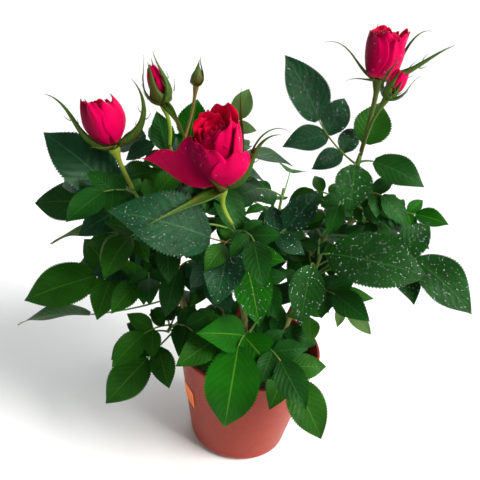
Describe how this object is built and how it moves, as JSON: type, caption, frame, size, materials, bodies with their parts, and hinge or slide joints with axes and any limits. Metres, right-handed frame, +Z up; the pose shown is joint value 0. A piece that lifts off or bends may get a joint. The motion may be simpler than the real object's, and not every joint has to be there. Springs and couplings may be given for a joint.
{
  "type": "rose bush in a pot",
  "caption": "Miniature rose bush in a tapered plastic pot: upright canes with leafy side shoots of compound leaves, open blooms and slim buds on long stalks with curled sepals.",
  "frame": {"origin": "middle of the pot's flat underside, on the surface that the pot stands on", "axes": "+Z up; +X to the right of someone who stands in front of the plant; +Y away from them"},
  "size_m": [0.326, 0.2575, 0.3556],
  "materials": {
    "pot": "smooth satin terracotta-coloured plastic",
    "label": "smooth blank label",
    "compost": "loose damp crumb",
    "bark": "young green bark with woody patches",
    "leaf": "waxy leaf, paler beneath",
    "sepal": "soft satin green stem and sepals",
    "petal": "velvety petal"
  },
  "bodies": {
    "root": {"cane_back": "bark", "cane_back_left": "bark", "cane_back_right": "bark", "cane_buds": "bark", "cane_centre": "bark", "cane_left": "bark", "cane_right": "bark", "compost": "compost", "foliage_back": "leaf", "foliage_back_left": "leaf", "foliage_back_low": "leaf", "foliage_back_right": "leaf", "foliage_buds": "leaf", "foliage_centre": "leaf", "foliage_front": "leaf", "foliage_inner": "leaf", "foliage_left": "leaf", "foliage_left_low": "leaf", "foliage_left_top": "leaf", "foliage_right": "leaf", "foliage_right_low": "leaf", "foliage_right_mid": "leaf", "foliage_right_top": "leaf", "label": "label", "pot": "pot", "rose_bud_green_stalk": "sepal", "rose_bud_right_petals": "petal", "rose_bud_right_stalk": "sepal", "rose_bud_tall_petals": "petal", "rose_bud_tall_stalk": "sepal", "rose_left_petals": "petal", "rose_left_stalk": "sepal", "rose_main_petals": "petal", "rose_main_stalk": "sepal", "rose_right_petals": "petal", "rose_right_stalk": "sepal", "spur": "bark"}
  },
  "joints": []
}
